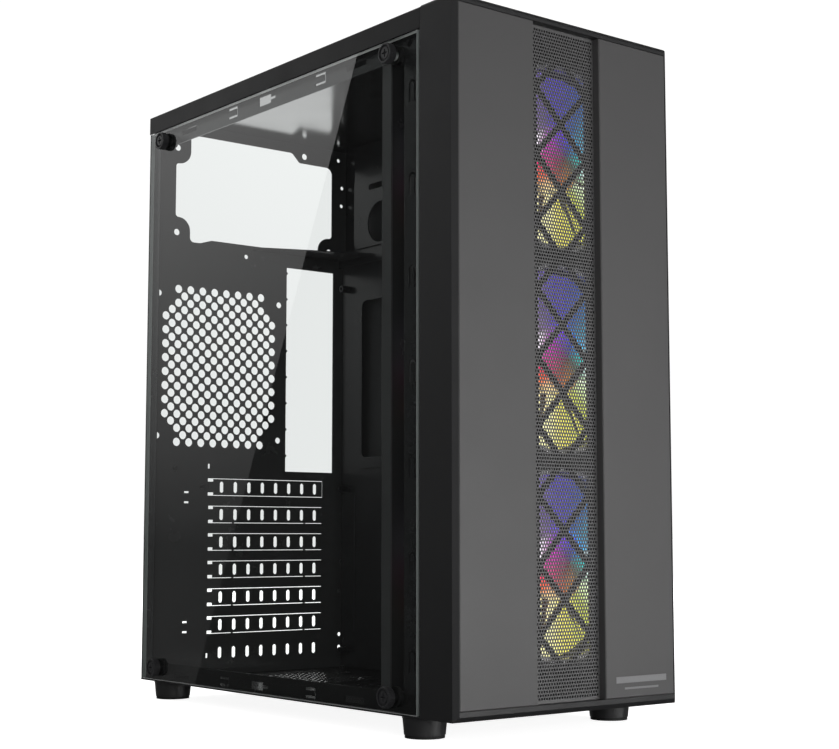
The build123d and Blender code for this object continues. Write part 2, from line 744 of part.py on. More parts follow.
hub_front = fan_front + 2.0
hub_back = fan_back - 4.0
blade_count = 9
blade_root_r = 17.0
blade_tip_r = 53.6
for place, height in fan_heights.items():
    hub_plane = front_view(hub_back)
    with BuildPart() as rotor:
        with BuildSketch(hub_plane):
            with Locations((0, height)):
                Circle(20.0)
        extrude(amount=hub_back - hub_front)
        for index in range(blade_count):
            angle = 360 / blade_count * index
            sections = []
            for radius, chord, pitch in ((blade_root_r, 15.0, 58), (blade_tip_r, 47.0, 79)):
                radial = Vector(math.cos(math.radians(angle)), 0, math.sin(math.radians(angle)))
                middle = Vector(0, (hub_front + hub_back) / 2, height) + radial * radius
                section_plane = Plane(origin=middle, x_dir=(0, -1, 0), z_dir=radial)
                with BuildSketch(section_plane, mode=Mode.PRIVATE) as section:
                    Rectangle(chord, 1.4, rotation=pitch)
                sections.append(section.sketch)
            loft(sections)
        with BuildSketch(hub_plane):
            with Locations((0, height)):
                Circle(blade_tip_r)
        extrude(amount=hub_back - hub_front, mode=Mode.INTERSECT)
        with BuildSketch(hub_plane):
            with Locations((0, height)):
                Circle(18.0)
        extrude(amount=12.0, mode=Mode.SUBTRACT)
        with BuildSketch(front_view(hub_front + 3.0)):
            with Locations((0, height)):
                Circle(shaft_r)
        extrude(amount=-(fan_back - hub_front - 3.6))
    save(rotor.part, "fan_rotor_" + place)

with BuildPart() as stators:
    for height in fan_heights.values():
        with BuildSketch(front_view(fan_back - 3.0)):
            with Locations((0, height)):
                Circle(4.0)
                Circle(shaft_r + 0.05, mode=Mode.SUBTRACT)
        extrude(amount=12.0)
        with BuildSketch(front_view(fan_back - 6.0)):
            with Locations((0, height)):
                Circle(16.0)
                Circle(4.0, mode=Mode.SUBTRACT)
        extrude(amount=7.0)
save(stators.part, "fan_stators")

with BuildPart() as light_rings:
    for height in fan_heights.values():
        with BuildSketch(front_view(fan_front + 3.5)):
            with Locations((0, height)):
                Circle(fan_bore_r)
                Circle(fan_bore_r - 2.4, mode=Mode.SUBTRACT)
        extrude(amount=3.5)
save(light_rings.part, "fan_light_rings")

with BuildPart() as fan_screws:
    offset_x = fan_hole_spacing / 2
    for height in fan_heights.values():
        for x in (-offset_x, offset_x):
            for z in (height - offset_x, height + offset_x):
                pan_head_screw(rear_facing(x, fan_plate_back, z), 3.6, 2.2, 2.05, 10.0)
save(fan_screws.part, "fan_screws")

# ================================================================ front panel
# Controls and ports stand in the top wall, in a row from the glass side.
port_y = -157.6
power_x = -62.0
reset_x = -42.0
lamp_x = (-32.0, -28.0)
usb3_x = -8.0
usb2_x = (14.0, 32.0)
jack_x = (50.0, 64.0)
boss_x = (-20.0, 73.0)
power_r = 8.0
reset_r = 3.4
board_top = 405.1
board_bottom = 403.5
usb_size = (13.2, 5.8)

with BuildPart() as shell:
    block((left, right), (front, panel_joint), (base_bottom, panel_top))
    chamfer(shell.faces().sort_by(Axis.Y)[0].edges(), panel_bevel)
    fillet(shell.edges().filter_by(Axis.Y).group_by(Axis.Z)[-1], 2.0)
    block(
        (left + panel_wall, right - panel_wall),
        (backing_back, panel_joint),
        (base_bottom + panel_wall, panel_top - panel_wall),
        mode=Mode.SUBTRACT,
    )
    block((rim_left, rim_right), (front, backing_front), (rim_bottom, rim_top), mode=Mode.SUBTRACT)
    with BuildSketch(front_view(backing_back)):
        with Locations((0, fan_middle_z)):
            Rectangle(2 * lattice_half_width, lattice_height)
    extrude(amount=backing_back - backing_front, mode=Mode.SUBTRACT)
    for x in boss_x:
        with BuildSketch(Plane.XY.offset(board_top)):
            with Locations((x, port_y)):
                Circle(3.0)
        extrude(amount=panel_top - panel_wall - board_top)
        with BuildSketch(Plane.XY.offset(board_top)):
            with Locations((x, port_y)):
                Circle(1.3)
        extrude(amount=10, mode=Mode.SUBTRACT)
    with BuildSketch(Plane.XY.offset(panel_top - panel_wall)):
        with Locations((power_x, port_y)):
            Circle(power_r + clearance)
        with Locations((reset_x, port_y)):
            Circle(reset_r + clearance)
        with Locations(*[(x, port_y) for x in lamp_x]):
            Circle(1.1)
        with Locations((usb3_x, port_y), (usb2_x[0], port_y), (usb2_x[1], port_y)):
            Rectangle(usb_size[0], usb_size[1])
        with Locations(*[(x, port_y) for x in jack_x]):
            Circle(3.2)
    extrude(amount=panel_wall, mode=Mode.SUBTRACT)
    for x in (-clip_x, clip_x):
        for z in (fan_middle_z - clip_pitch, fan_middle_z, fan_middle_z + clip_pitch):
            block((x - 1.6, x + 1.6), (backing_back, -139.6), (z - 4.5, z + 4.5))
            with BuildSketch(side_view(x - 1.6)):
                with Locations((-140.4, z)):
                    Rectangle(1.4, 10.6)
            extrude(amount=3.2)
save(shell.part, "front_panel_shell")

# X lattice that fills the shell's opening behind the perforated strip.
with BuildPart() as lattice:
    with BuildSketch(front_view(backing_back)):
        for index in range(lattice_cells + 1):
            crossing = fan_middle_z + (index - lattice_cells / 2) * lattice_pitch
            with Locations((0, crossing)):
                for tilt in (45, -45):
                    Rectangle(lattice_pitch * math.sqrt(2), lattice_bar, rotation=tilt)
        with Locations((0, fan_middle_z)):
            Rectangle(2 * lattice_half_width, lattice_height, mode=Mode.INTERSECT)
    extrude(amount=backing_back - backing_front)
save(lattice.part, "front_lattice")

plate_thickness = backing_front - front
badge_x = (35.4, 78.4)
badge_z = ((27.2, 31.0), (23.4, 24.6))
with BuildPart() as left_plate:
    block((rim_left, strip_left), (front, backing_front), (rim_bottom, rim_top))
    chamfer(left_plate.faces().sort_by(Axis.Y)[0].edges(), 0.6)
    block(
        (rim_left + 2, strip_left - 2),
        (front + 2, backing_front),
        (rim_bottom + 2, rim_top - 2),
        mode=Mode.SUBTRACT,
    )
save(left_plate.part, "left_plate")

with BuildPart() as right_plate:
    block((strip_right, rim_right), (front, backing_front), (rim_bottom, rim_top))
    chamfer(right_plate.faces().sort_by(Axis.Y)[0].edges(), 0.6)
    block(
        (strip_right + 2, rim_right - 2),
        (front + 2, backing_front),
        (rim_bottom + 2, rim_top - 2),
        mode=Mode.SUBTRACT,
    )
    for span, band in zip(((badge_x[0], badge_x[1]), (badge_x[0] + 7, badge_x[1] - 7)), badge_z):
        block(span, (front, front + 0.3), band, mode=Mode.SUBTRACT)
save(right_plate.part, "right_plate")

with BuildPart() as badge:
    for span, band in zip(((badge_x[0], badge_x[1]), (badge_x[0] + 7, badge_x[1] - 7)), badge_z):
        block(span, (front + 0.02, front + 0.3), band)
save(badge.part, "badge_bars")

with BuildPart() as mesh_strip:
    block(
        (strip_left, strip_right),
        (backing_front - mesh_thickness, backing_front),
        (rim_bottom, rim_top),
    )
save(mesh_strip.part, "mesh_strip")

# ================================================================ controls and ports
with BuildPart() as io_board:
    block((-74, 78), (port_y - 8, port_y + 8), (board_bottom, board_top))
    with BuildSketch(Plane.XY.offset(board_bottom)):
        with Locations(*[(x, port_y) for x in boss_x]):
            Circle(1.7)
    extrude(amount=board_top - board_bottom, mode=Mode.SUBTRACT)
save(io_board.part, "io_board")

with BuildPart() as board_screws:
    for x in boss_x:
        seat = Plane(origin=(x, port_y, board_bottom), x_dir=(1, 0, 0), z_dir=(0, 0, -1))
        pan_head_screw(seat, 2.6, 1.5, 1.25, 7.0)
save(board_screws.part, "io_board_screws")

switch_height = 5.0
with BuildPart() as switches:
    for x in (power_x, reset_x):
        block((x - 3, x + 3), (port_y - 3, port_y + 3), (board_top, board_top + 3.4))
        with BuildSketch(Plane.XY.offset(board_top)):
            with Locations((x, port_y)):
                Circle(1.7)
        extrude(amount=switch_height)
save(switches.part, "button_switches")

button_travel = 1.2
stem_bottom = board_top + switch_height + button_travel + clearance


def push_button(x, radius):
    """Round cap with a retaining collar under the wall and a stem over its switch."""
    with BuildSketch(Plane.XY.offset(panel_top - 3.2)) as cap:
        with Locations((x, port_y)):
            Circle(radius)
    extrude(cap.sketch, amount=3.2)
    chamfer(faces().sort_by(Axis.Z)[-1].edges(), 0.4)
    with BuildSketch(Plane.XY.offset(panel_top - 4.6)) as collar:
        with Locations((x, port_y)):
            Circle(radius + 1.2)
    extrude(collar.sketch, amount=2.0)
    with BuildSketch(Plane.XY.offset(stem_bottom)) as stem:
        with Locations((x, port_y)):
            Circle(2.0)
    extrude(stem.sketch, amount=panel_top - 4.6 - stem_bottom)


with BuildPart() as power_button:
    push_button(power_x, power_r)
save(power_button.part, "power_button")

with BuildPart() as reset_button:
    push_button(reset_x, reset_r)
save(reset_button.part, "reset_button")


def usb_socket(x):
    """Upright USB-A socket: a thin shell open at the top, with its contact tongue."""
    top = panel_top - 0.3
    half = (usb_size[0] / 2, usb_size[1] / 2)
    block((x - half[0], x + half[0]), (port_y - half[1], port_y + half[1]), (board_top, top))
    block(
        (x - half[0] + 0.45, x + half[0] - 0.45),
        (port_y - half[1] + 0.45, port_y + half[1] - 0.45),
        (top - 9.6, top),
        mode=Mode.SUBTRACT,
    )


def usb_tongue(x):
    block((x - 5.4, x + 5.4), (port_y + 0.4, port_y + 2.2), (panel_top - 9.9, panel_top - 1.4))


with BuildPart() as usb3_socket:
    usb_socket(usb3_x)
save(usb3_socket.part, "usb3_socket")

with BuildPart() as usb2_sockets:
    for x in usb2_x:
        usb_socket(x)
save(usb2_sockets.part, "usb2_sockets")

with BuildPart() as usb3_tongue:
    usb_tongue(usb3_x)
save(usb3_tongue.part, "usb3_tongue")

with BuildPart() as usb2_tongues:
    for x in usb2_x:
        usb_tongue(x)
save(usb2_tongues.part, "usb2_tongues")

with BuildPart() as audio_jacks:
    for x in jack_x:
        block((x - 3.4, x + 3.4), (port_y - 3.4, port_y + 3.4), (board_top, panel_top - panel_wall - 0.2))
        with BuildSketch(Plane.XY.offset(panel_top - panel_wall - 0.4)):
            with Locations((x, port_y)):
                Circle(3.0)
        extrude(amount=panel_wall + 0.1)
        with BuildSketch(Plane.XY.offset(panel_top)):
            with Locations((x, port_y)):
                Circle(1.8)
        extrude(amount=-14, mode=Mode.SUBTRACT)
save(audio_jacks.part, "audio_jacks")

with BuildPart() as lamps:
    for x in lamp_x:
        with BuildSketch(Plane.XY.offset(board_top)):
            with Locations((x, port_y)):
                Circle(1.0)
        extrude(amount=panel_top - board_top - 0.1)
save(lamps.part, "status_lamps")
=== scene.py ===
import json
import math

import bpy
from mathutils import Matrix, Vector


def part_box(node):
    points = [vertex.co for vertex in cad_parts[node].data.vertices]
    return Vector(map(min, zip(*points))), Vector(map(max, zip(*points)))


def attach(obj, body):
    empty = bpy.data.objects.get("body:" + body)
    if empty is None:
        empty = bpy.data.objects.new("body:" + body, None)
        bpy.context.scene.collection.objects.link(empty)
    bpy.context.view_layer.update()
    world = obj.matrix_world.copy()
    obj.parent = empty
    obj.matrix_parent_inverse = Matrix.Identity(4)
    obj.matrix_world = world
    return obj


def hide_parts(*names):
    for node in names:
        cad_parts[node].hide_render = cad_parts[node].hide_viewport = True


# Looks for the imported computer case: materials for every CAD node, a strip with real
# holes in place of the plain sheet, and a studio. Metres, in the frame of the CAD.

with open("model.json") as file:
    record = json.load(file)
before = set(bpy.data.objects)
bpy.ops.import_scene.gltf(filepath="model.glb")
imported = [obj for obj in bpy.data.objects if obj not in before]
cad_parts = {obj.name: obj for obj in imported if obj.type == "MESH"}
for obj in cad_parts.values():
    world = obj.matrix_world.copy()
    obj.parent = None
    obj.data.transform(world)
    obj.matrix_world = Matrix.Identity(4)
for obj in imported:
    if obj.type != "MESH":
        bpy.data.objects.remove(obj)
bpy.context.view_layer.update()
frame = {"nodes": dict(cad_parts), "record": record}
nodes = frame["nodes"]
scene = bpy.context.scene

MM = 0.001


# ---------------------------------------------------------------- node helpers
class Shader:
    """One material's node tree, with short ways to add and link nodes."""

    def __init__(self, name):
        self.material = bpy.data.materials.new(name)
        self.material.use_nodes = True
        self.tree = self.material.node_tree
        self.tree.nodes.clear()
        self.output = self.tree.nodes.new("ShaderNodeOutputMaterial")
        self.bsdf = self.tree.nodes.new("ShaderNodeBsdfPrincipled")
        self.link(self.bsdf.outputs[0], self.output.inputs["Surface"])
        self.coords = self.add("ShaderNodeTexCoord").outputs["Object"]

    def add(self, kind, **settings):
        node = self.tree.nodes.new(kind)
        for key, value in settings.items():
            setattr(node, key, value)
        return node

    def link(self, source, target):
        self.tree.links.new(source, target)

    def set(self, **values):
        for key, value in values.items():
            self.bsdf.inputs[key.replace("_", " ")].default_value = value

    def noise(self, scale, detail=2.0, roughness=0.5):
        node = self.add("ShaderNodeTexNoise")
        node.inputs["Scale"].default_value = scale
        node.inputs["Detail"].default_value = detail
        node.inputs["Roughness"].default_value = roughness
        self.link(self.coords, node.inputs["Vector"])
        return node.outputs["Fac"]

    def math(self, operation, first, second=None, clamp=False):
        node = self.add("ShaderNodeMath", operation=operation, use_clamp=clamp)
        for socket, value in zip(node.inputs, (first, second)):
            if value is None:
                continue
            if isinstance(value, (int, float)):
                socket.default_value = value
            else:
                self.link(value, socket)
        return node.outputs[0]

    def split(self, vector):
        """The three parts of a vector, by the names X, Y and Z."""
        node = self.add("ShaderNodeSeparateXYZ")
        self.link(vector, node.inputs[0])
        return node.outputs

    def face_normal(self):
        return self.split(self.add("ShaderNodeNewGeometry").outputs["True Normal"])

    def within(self, value, low, high):
        """1 where the value lies between low and high, and 0 elsewhere."""
        above = self.math("GREATER_THAN", value, low)
        return self.math("MULTIPLY", above, self.math("LESS_THAN", value, high))

    def colour_in_use(self):
        """The colour that feeds the base colour so far, to be mixed with another."""
        return self.bsdf.inputs["Base Color"].links[0].from_socket

    def spread(self, value, low, high, from_low=0.0, from_high=1.0):
        """Maps from_low to low and from_high to high, and stays between them."""
        node = self.add("ShaderNodeMapRange")
        self.link(value, node.inputs["Value"])
        node.inputs["From Min"].default_value = from_low
        node.inputs["From Max"].default_value = from_high
        node.inputs["To Min"].default_value = low
        node.inputs["To Max"].default_value = high
        return node.outputs["Result"]

    def mix(self, factor, first, second):
        node = self.add("ShaderNodeMix", data_type="RGBA")
        sockets = (node.inputs[0], node.inputs[6], node.inputs[7])
        for socket, value in zip(sockets, (factor, first, second)):
            if isinstance(value, (tuple, list)):
                socket.default_value = (*value, 1.0)
            elif isinstance(value, float):
                socket.default_value = value
            else:
                self.link(value, socket)
        return node.outputs[2]

    def bump(self, height, strength, distance, normal=None):
        node = self.add("ShaderNodeBump")
        node.inputs["Strength"].default_value = strength
        node.inputs["Distance"].default_value = distance
        self.link(height, node.inputs["Height"])
        if normal is not None:
            self.link(normal, node.inputs["Normal"])
        return node.outputs["Normal"]

    def rounded(self, radius):
        node = self.add("ShaderNodeBevel", samples=4)
        node.inputs["Radius"].default_value = radius
        return node.outputs["Normal"]

    def edges(self, radius):
        """1 on sharp edges and 0 on flat faces, from how far the rounded normal leans."""
        true_normal = self.add("ShaderNodeNewGeometry").outputs["Normal"]
        dot = self.add("ShaderNodeVectorMath", operation="DOT_PRODUCT")
        self.link(self.rounded(radius), dot.inputs[0])
        self.link(true_normal, dot.inputs[1])
        return self.spread(dot.outputs["Value"], 1.0, 0.0, 0.8, 0.995)


def tinted(colour, factor):
    return tuple(min(1.0, c * factor) for c in colour)


def surface(name, colour, roughness, vary=0.12, grain=900.0, grain_depth=0.012,
            edge_wear_and_highlight=1.5, edge=0.35, specular=0.5, metallic=0.0, coat=0.0):
    """A moulded or coated surface: patchy colour, fine grain, handled roughness, and edges lighter,
    partly rubbed and partly a painted highlight.

    colour is the base colour, roughness the middle roughness, vary the share by which both
    drift over the surface, grain the grain's scale per metre and grain_depth its depth in mm,
    edge_wear_and_highlight how much lighter the edges are, and edge their radius in mm."""
    s = Shader(name)
    s.set(Metallic=metallic, Specular_IOR_Level=specular, Coat_Weight=coat)
    patches = s.noise(9.0, detail=4.0)
    smudges = s.noise(38.0, detail=6.0, roughness=0.62)
    fine = s.noise(grain)
    base = s.mix(patches, tinted(colour, 1.0 - vary), tinted(colour, 1.0 + vary))
    speckled = s.mix(s.spread(fine, 0.0, 0.35, 0.35, 0.75), base, tinted(colour, 1.0 + 2.0 * vary))
    # Edges made lighter: partly rubbed paint, partly a painted highlight for the sheen of rounded
    # edges.
    worn_and_highlit = s.mix(s.math("MULTIPLY", s.edges(edge * MM), 0.55), speckled, tinted(colour, edge_wear_and_highlight))
    s.link(worn_and_highlit, s.bsdf.inputs["Base Color"])
    handled = s.spread(smudges, roughness * (1.0 - vary), roughness * (1.0 + vary), 0.3, 0.7)
    s.link(handled, s.bsdf.inputs["Roughness"])
    s.link(s.bump(fine, 0.5, grain_depth * MM, s.rounded(edge * MM)), s.bsdf.inputs["Normal"])
    return s


def colour_steps(s, value, stops, interpolation="LINEAR"):
    """A colour ramp through the stops, each a place from 0 to 1 and a colour."""
    colours = s.add("ShaderNodeValToRGB")
    ramp = colours.color_ramp
    ramp.interpolation = interpolation
    for at, colour in stops[1:-1]:
        ramp.elements.new(at).color = (*colour, 1.0)
    ramp.elements[0].color = (*stops[0][1], 1.0)
    ramp.elements[-1].color = (*stops[-1][1], 1.0)
    s.link(value, colours.inputs[0])
    return colours.outputs[0]


# ---------------------------------------------------------------- glass
# Colour of the ground edge, painted light by facing: painted shade on top, grey at the ends, a
# painted highlight underneath.
GLASS_EDGE_PAINTED_LIGHT = ((0.0, (0.03, 0.03, 0.03)), (0.5, (0.30, 0.33, 0.32)), (1.0, (0.95, 0.97, 0.96)))
GLASS_TINT = (0.93, 0.945, 0.94, 1.0)
TWO_FACES = 1.85                        # how much more a sheet mirrors than one face does


def glass_material():
    """Clear tempered glass with ground edges. It mirrors by Fresnel on the faces that
    a ray meets from outside, twice over for the two faces of the sheet, and lets lamps in."""
    s = Shader("glass")
    s.set(Roughness=0.35)
    geometry = s.add("ShaderNodeNewGeometry")
    fresnel = s.add("ShaderNodeFresnel")
    fresnel.inputs["IOR"].default_value = 1.5
    outside = s.math("SUBTRACT", 1.0, geometry.outputs["Backfacing"])
    mirrored = s.math("MULTIPLY", fresnel.outputs[0], TWO_FACES)
    mirror_share = s.math("MULTIPLY", mirrored, outside, clamp=True)
    clear = s.add("ShaderNodeBsdfTransparent")
    clear.inputs[0].default_value = GLASS_TINT
    mirror = s.add("ShaderNodeBsdfGlossy")
    dust = s.noise(220.0, detail=6.0, roughness=0.7)
    s.link(s.spread(dust, 0.0, 0.03, 0.45, 0.75), mirror.inputs["Roughness"])
    pane = s.add("ShaderNodeMixShader")
    s.link(mirror_share, pane.inputs[0])
    s.link(clear.outputs[0], pane.inputs[1])
    s.link(mirror.outputs[0], pane.inputs[2])
    normal = s.split(s.add("ShaderNodeTexCoord").outputs["Normal"])
    ground = s.math("LESS_THAN", s.math("ABSOLUTE", normal["X"]), 0.75)
    # Painted light on the ground edges: bright where they face down, dark where they face up.
    painted_light_by_facing = s.spread(normal["Z"], 1.0, 0.0, -0.5, 0.5)
    s.link(colour_steps(s, painted_light_by_facing, GLASS_EDGE_PAINTED_LIGHT), s.bsdf.inputs["Base Color"])
    both = s.add("ShaderNodeMixShader")
    s.link(s.math("MULTIPLY", ground, 0.8), both.inputs[0])
    s.link(pane.outputs[0], both.inputs[1])
    s.link(s.bsdf.outputs[0], both.inputs[2])
    s.link(both.outputs[0], s.output.inputs["Surface"])
    return s


# ---------------------------------------------------------------- fan light
# Colours of the light round a fan, by the turn from its right side, anticlockwise
# as seen from the front: close round the hub, and out on the blades.
HUB_LIGHT = (
    (0.00, (0.03, 0.62, 0.60)),
    (0.10, (0.03, 0.34, 0.75)),
    (0.22, (0.04, 0.06, 0.70)),
    (0.32, (0.14, 0.03, 0.62)),
    (0.44, (0.50, 0.00, 0.42)),
    (0.56, (0.48, 0.02, 0.16)),
    (0.66, (0.34, 0.06, 0.03)),
    (0.76, (0.42, 0.17, 0.03)),
    (0.88, (0.12, 0.20, 0.13)),
    (1.00, (0.03, 0.62, 0.60)),
)
BLADE_LIGHT = (
    (0.00, (0.45, 0.50, 0.50)),
    (0.05, (0.28, 0.36, 0.38)),
    (0.11, (0.05, 0.26, 0.36)),
    (0.17, (0.03, 0.09, 0.34)),
    (0.25, (0.055, 0.035, 0.40)),
    (0.32, (0.11, 0.07, 0.28)),
    (0.38, (0.22, 0.15, 0.27)),
    (0.43, (0.75, 0.68, 0.78)),
    (0.475, (0.85, 0.78, 0.88)),
    (0.505, (0.70, 0.16, 0.50)),
    (0.54, (0.75, 0.01, 0.14)),
    (0.59, (0.80, 0.10, 0.02)),
    (0.64, (0.85, 0.62, 0.28)),
    (0.70, (0.80, 0.78, 0.40)),
    (0.77, (0.72, 0.66, 0.10)),
    (0.84, (0.50, 0.56, 0.08)),
    (0.90, (0.62, 0.78, 0.42)),
    (0.95, (0.80, 0.86, 0.80)),
    (1.00, (0.45, 0.50, 0.50)),
)
# The colours turn round a point a little beside the axis.
LIGHT_SHIFT = Vector((7.5 * MM, 0.0, 1.5 * MM))
HUB_EDGE = (18 * MM, 24 * MM)           # where the hub's colours give way to the blades'
DIM_CORE = (2 * MM, 14 * MM)            # the light grows from the middle out to here
FAN_STRENGTH = 1.6
BACK_SHARE = 0.1                        # share of the light on faces that look to the rear


def fan_light(name, centre):
    """Frosted plastic lit round the fan's axis: HUB_LIGHT near it, BLADE_LIGHT further out."""
    s = Shader(name)
    s.set(Roughness=0.5, Specular_IOR_Level=0.4)
    place = s.split(s.coords)
    across = s.math("SUBTRACT", place["X"], centre.x + LIGHT_SHIFT.x)
    up = s.math("SUBTRACT", place["Z"], centre.z + LIGHT_SHIFT.z)
    angle = s.math("ARCTAN2", up, across)
    turn = s.math("FRACT", s.math("ADD", s.math("DIVIDE", angle, 2.0 * math.pi), 1.0))
    squares = s.math("ADD", s.math("MULTIPLY", up, up), s.math("MULTIPLY", across, across))
    radius = s.math("SQRT", squares)
    outward = s.spread(radius, 0.0, 1.0, *HUB_EDGE)
    hub = colour_steps(s, turn, HUB_LIGHT, "EASE")
    blades = colour_steps(s, turn, BLADE_LIGHT, "EASE")
    light = s.mix(outward, hub, blades)
    s.bsdf.inputs["Base Color"].default_value = (0.12, 0.12, 0.13, 1.0)
    core = s.spread(radius, 0.25, 1.0, *DIM_CORE)
    forward = s.math("LESS_THAN", s.face_normal()["Y"], 0.0)
    glow = s.math("MULTIPLY", core, s.spread(forward, BACK_SHARE, 1.0))
    mottled = s.spread(s.noise(160.0, detail=3.0), 0.85, 1.12, 0.3, 0.7)
    s.link(light, s.bsdf.inputs["Emission Color"])
    strength = s.math("MULTIPLY", s.math("MULTIPLY", glow, mottled), FAN_STRENGTH)
    s.link(strength, s.bsdf.inputs["Emission Strength"])
    s.link(s.bump(s.noise(300.0), 0.3, 0.05 * MM), s.bsdf.inputs["Normal"])
    return s


# ---------------------------------------------------------------- metal and board
TURNS_PER_METRE = 9000.0
MARGIN = 0.1 * MM                       # reach of a shaded zone past the box that sets it


def winding_material():
    """Copper windings on a laminated core, in bands round the fan's axis."""
    s = surface("fan_stator", (0.30, 0.15, 0.07), 0.35, vary=0.2, metallic=0.7)
    bands = s.math("SINE", s.math("MULTIPLY", s.split(s.coords)["Y"], TURNS_PER_METRE))
    s.link(s.bump(bands, 0.6, 0.15 * MM), s.bsdf.inputs["Normal"])
    return s


def board_material():
    """Solder mask with faint tracks under it."""
    s = surface("circuit_board", (0.012, 0.05, 0.028), 0.3, vary=0.15)
    tracks = s.add("ShaderNodeTexBrick")
    tracks.inputs["Scale"].default_value = 260.0
    tracks.inputs["Mortar Size"].default_value = 0.04
    s.link(s.coords, tracks.inputs["Vector"])
    colour = s.mix(tracks.outputs["Fac"], (0.012, 0.05, 0.028), (0.03, 0.10, 0.05))
    s.link(colour, s.bsdf.inputs["Base Color"])
    return s


# Painted light and painted shade on the chassis coat, where it is not the plain one.
WALL_PAINTED_LIGHT = (0.058, 0.058, 0.059)
UNDERSIDE_PAINTED_LIGHT = (0.055, 0.055, 0.056)
POST_PAINTED_LIGHT = (0.060, 0.060, 0.061)
BASE_EDGE_PAINTED_SHADE = (0.012, 0.012, 0.012)
TOPSIDE_PAINTED_SHADE = (0.010, 0.010, 0.010)


def chassis_steel_material():
    """Powder coated sheet. The rear wall, the inner post and the faces that look down get painted
    light, a little lighter; the edge of the base and the faces that look up get painted shade,
    darker."""
    s = surface("chassis_steel", (0.021, 0.021, 0.022), 0.26, vary=0.07, grain=700.0, edge_wear_and_highlight=2.0)
    normal = s.face_normal()
    place = s.split(s.coords)
    wall_low, wall_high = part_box("rear_wall")
    post_low, post_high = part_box("inner_left_post")
    sheet = MM                          # a little over the sheets' thickness
    forward = s.math("LESS_THAN", normal["Y"], -0.5)
    at_wall = s.within(place["Y"], wall_low.y - sheet - MARGIN, wall_high.y + MARGIN)
    wall = s.math("MULTIPLY", forward, at_wall)
    down = s.math("LESS_THAN", normal["Z"], -0.5)
    side = s.within(place["X"], post_low.x - MARGIN, post_low.x + sheet + MARGIN)
    at_post = s.within(place["Y"], post_low.y - MARGIN, post_high.y + MARGIN)
    post = s.math("MULTIPLY", side, at_post)
    base_edge = s.math("MULTIPLY", side, s.math("LESS_THAN", place["Z"], post_low.z))
    up = s.math("GREATER_THAN", normal["Z"], 0.5)
    coat = s.colour_in_use()
    # Lit and shaded copies of the coat: painted light on the wall, the post and the undersides,
    # painted shade on the base edge and the tops.
    for zone, shade in ((wall, WALL_PAINTED_LIGHT), (down, UNDERSIDE_PAINTED_LIGHT), (post, POST_PAINTED_LIGHT),
                        (base_edge, BASE_EDGE_PAINTED_SHADE), (up, TOPSIDE_PAINTED_SHADE)):
        coat = s.mix(zone, coat, shade)
    s.link(coat, s.bsdf.inputs["Base Color"])
    s.link(s.spread(up, 0.5, 0.15), s.bsdf.inputs["Specular IOR Level"])
    return s


RIGHT_SIDE = 80 * MM                    # past this are the right panel and the cover's right flange
RIGHT_INNER_PAINTED_LIGHT = (0.085, 0.085, 0.087)


def outer_steel_material():
    """Satin powder coat outside. Faces that look down are smooth and mirror the room, and
    the faces that look inward on the right side are painted lighter, as painted light."""
    s = surface("outer_steel", (0.014, 0.014, 0.0145), 0.42, grain=800.0, edge_wear_and_highlight=2.2)
    normal = s.face_normal()
    under = s.math("LESS_THAN", normal["Z"], -0.5)
    coated = s.bsdf.inputs["Roughness"].links[0].from_socket
    smoothed = s.math("MULTIPLY", coated, s.spread(under, 1.0, 0.36))
    s.link(smoothed, s.bsdf.inputs["Roughness"])
    s.link(s.spread(under, 1.5, 3.2), s.bsdf.inputs["IOR"])
    s.link(s.spread(under, 0.25, 0.5), s.bsdf.inputs["Specular IOR Level"])
    inward = s.math("LESS_THAN", normal["X"], -0.5)
    right = s.math("GREATER_THAN", s.split(s.coords)["X"], RIGHT_SIDE)
    # Painted light: the inward faces of the right side are made lighter than the coat.
    lighter = s.mix(s.math("MULTIPLY", inward, right), s.colour_in_use(), RIGHT_INNER_PAINTED_LIGHT)
    s.link(lighter, s.bsdf.inputs["Base Color"])
    return s


def shell_material():
    """Moulded black plastic, made near black and dull behind the strip as painted shade."""
    s = surface("shell_plastic", (0.020, 0.020, 0.021), 0.46, grain=1400.0, edge_wear_and_highlight=2.0)
    place = s.split(s.coords)
    low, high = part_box("mesh_strip")
    across = s.within(place["X"], low.x, high.x)
    along = s.within(place["Z"], low.z, high.z)
    behind = s.math("GREATER_THAN", place["Y"], high.y - MARGIN)
    # Painted shade behind the strip, for the darkness seen through its holes.
    shaded_behind_strip = s.math("MULTIPLY", s.math("MULTIPLY", across, along), behind)
    black = s.mix(shaded_behind_strip, s.colour_in_use(), (0.003, 0.003, 0.003))
    s.link(black, s.bsdf.inputs["Base Color"])
    s.link(s.spread(shaded_behind_strip, 0.36, 0.05), s.bsdf.inputs["Specular IOR Level"])
    return s


